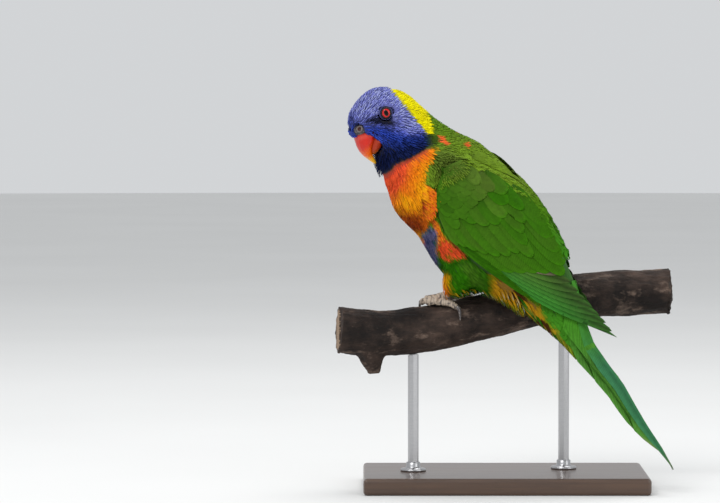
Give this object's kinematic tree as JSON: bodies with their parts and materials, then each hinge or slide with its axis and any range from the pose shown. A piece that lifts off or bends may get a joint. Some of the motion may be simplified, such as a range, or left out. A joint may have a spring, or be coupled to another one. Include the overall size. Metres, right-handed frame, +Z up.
{
  "type": "rainbow lorikeet model on a perch",
  "caption": "Life-size still model of a rainbow lorikeet gripping a short cut length of branch, held over a flat wooden base by steel rods.",
  "frame": {"origin": "centre of the base's underside", "axes": "+Z up; the bird looks along -X and its left wing faces -Y"},
  "size_m": [0.2047, 0.104, 0.2407],
  "materials": {
    "head_feathers": "violet-blue narrow feathers with pale streaks",
    "collar_feathers": "yellow to lime green feathers",
    "breast_feathers": "orange and red feathers, purple and green on the belly",
    "wing_feathers": "satin green feathers with dark edges",
    "tail_feathers": "teal and green feathers with pale green edges",
    "bill_horn": "polished orange-red horn with a yellow tip",
    "scaly_skin": "matt grey scales",
    "claw_horn": "dark grey horn",
    "eye": "glossy red iris round a black pupil",
    "bark": "rough dark grey-brown bark",
    "stand_wood": "satin varnish",
    "stand_steel": "brushed"
  },
  "bodies": {
    "root": {"head": "head_feathers", "neck": "collar_feathers", "trunk": "breast_feathers", "tail": "tail_feathers", "wing_left": "wing_feathers", "wing_right": "wing_feathers", "thigh_left": "wing_feathers", "thigh_right": "wing_feathers", "eye_left": "eye", "eye_right": "eye", "cere": "scaly_skin", "bill_upper": "bill_horn", "bill_lower": "bill_horn", "tarsus_left": "scaly_skin", "tarsus_right": "scaly_skin", "toe_front_outer_left": "scaly_skin", "claw_front_outer_left": "claw_horn", "toe_front_inner_left": "scaly_skin", "claw_front_inner_left": "claw_horn", "toe_rear_inner_left": "scaly_skin", "claw_rear_inner_left": "claw_horn", "toe_rear_outer_left": "scaly_skin", "claw_rear_outer_left": "claw_horn", "toe_front_outer_right": "scaly_skin", "claw_front_outer_right": "claw_horn", "toe_front_inner_right": "scaly_skin", "claw_front_inner_right": "claw_horn", "toe_rear_inner_right": "scaly_skin", "claw_rear_inner_right": "claw_horn", "toe_rear_outer_right": "scaly_skin", "claw_rear_outer_right": "claw_horn", "perch": "bark", "stand_base": "stand_wood", "stand_rod_1": "stand_steel", "stand_rod_2": "stand_steel"}
  },
  "joints": []
}
